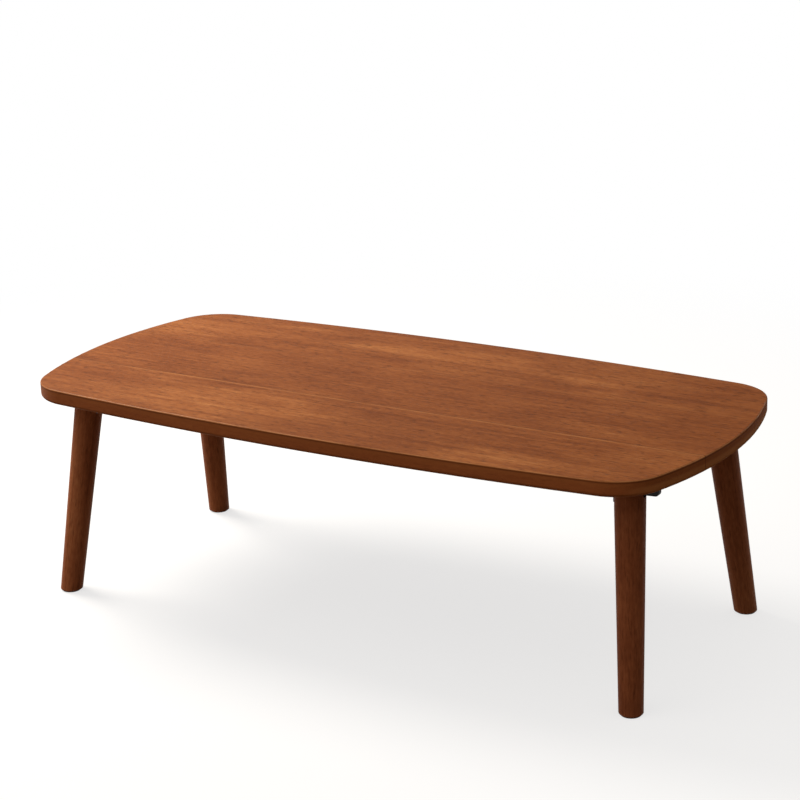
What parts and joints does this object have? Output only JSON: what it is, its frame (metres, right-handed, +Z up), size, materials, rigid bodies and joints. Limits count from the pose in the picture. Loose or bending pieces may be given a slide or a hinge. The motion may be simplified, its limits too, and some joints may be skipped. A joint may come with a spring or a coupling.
{
  "type": "folding coffee table",
  "caption": "Low wooden coffee table with a bowed, round-cornered top on tapered splayed legs that fold flat under it on spring-latched steel brackets.",
  "frame": {"origin": "on the floor, under the middle of the top", "axes": "+X along the table's length to the right, +Y to the back, +Z up"},
  "size_m": [1.2, 0.564, 0.376],
  "materials": {
    "top_wood": "warm reddish brown stain under satin lacquer",
    "leg_wood": "dark reddish brown stain under satin lacquer",
    "black_steel": "fine black powder coat",
    "screw_steel": "bright zinc plate",
    "spring_steel": "tempered, lightly oiled",
    "bush_brass": "turned",
    "nylon": "natural",
    "felt": "pressed felt",
    "rubber": "moulded, matte"
  },
  "bodies": {
    "tabletop": {"top_board_1": "top_wood", "top_board_2": "top_wood", "top_board_3": "top_wood", "bracket_front_left": "black_steel", "bracket_front_right": "black_steel", "bracket_back_left": "black_steel", "bracket_back_right": "black_steel", "bracket_screws_front_left": "screw_steel", "bracket_screws_front_right": "screw_steel", "bracket_screws_back_left": "screw_steel", "bracket_screws_back_right": "screw_steel", "pivot_bush_front_left": "bush_brass", "pivot_bush_front_right": "bush_brass", "pivot_bush_back_left": "bush_brass", "pivot_bush_back_right": "bush_brass", "latch_spring_front_left": "spring_steel", "latch_spring_front_right": "spring_steel", "latch_spring_back_left": "spring_steel", "latch_spring_back_right": "spring_steel", "latch_rivet_front_left": "screw_steel", "latch_rivet_front_right": "screw_steel", "latch_rivet_back_left": "screw_steel", "latch_rivet_back_right": "screw_steel", "fold_bumper_front_left": "rubber", "fold_bumper_front_right": "rubber", "fold_bumper_back_left": "rubber", "fold_bumper_back_right": "rubber"},
    "folding_leg_front_left": {"leg_front_left": "leg_wood", "pivot_bolt_front_left": "screw_steel", "pivot_nut_front_left": "screw_steel", "pivot_washers_front_left": "nylon", "strike_plate_front_left": "spring_steel", "strike_screws_front_left": "screw_steel", "foot_pad_front_left": "felt"},
    "folding_leg_front_right": {"leg_front_right": "leg_wood", "pivot_bolt_front_right": "screw_steel", "pivot_nut_front_right": "screw_steel", "pivot_washers_front_right": "nylon", "strike_plate_front_right": "spring_steel", "strike_screws_front_right": "screw_steel", "foot_pad_front_right": "felt"},
    "folding_leg_back_left": {"leg_back_left": "leg_wood", "pivot_bolt_back_left": "screw_steel", "pivot_nut_back_left": "screw_steel", "pivot_washers_back_left": "nylon", "strike_plate_back_left": "spring_steel", "strike_screws_back_left": "screw_steel", "foot_pad_back_left": "felt"},
    "folding_leg_back_right": {"leg_back_right": "leg_wood", "pivot_bolt_back_right": "screw_steel", "pivot_nut_back_right": "screw_steel", "pivot_washers_back_right": "nylon", "strike_plate_back_right": "spring_steel", "strike_screws_back_right": "screw_steel", "foot_pad_back_right": "felt"}
  },
  "joints": [
    {"name": "fold_front_left", "type": "hinge", "parent": "tabletop", "child": "folding_leg_front_left", "pos_m": [-0.49073, -0.16343, 0.335], "axis": [0, -1, 0], "range_deg": [0, 94.7], "deforming": ["latch_spring_front_left"]},
    {"name": "fold_front_right", "type": "hinge", "parent": "tabletop", "child": "folding_leg_front_right", "pos_m": [0.49073, -0.16343, 0.335], "axis": [0, 1, 0], "range_deg": [0, 94.7], "deforming": ["latch_spring_front_right"]},
    {"name": "fold_back_left", "type": "hinge", "parent": "tabletop", "child": "folding_leg_back_left", "pos_m": [-0.49073, 0.16343, 0.335], "axis": [0, -1, 0], "range_deg": [0, 94.7], "deforming": ["latch_spring_back_left"]},
    {"name": "fold_back_right", "type": "hinge", "parent": "tabletop", "child": "folding_leg_back_right", "pos_m": [0.49073, 0.16343, 0.335], "axis": [0, 1, 0], "range_deg": [0, 94.7], "deforming": ["latch_spring_back_right"]}
  ]
}
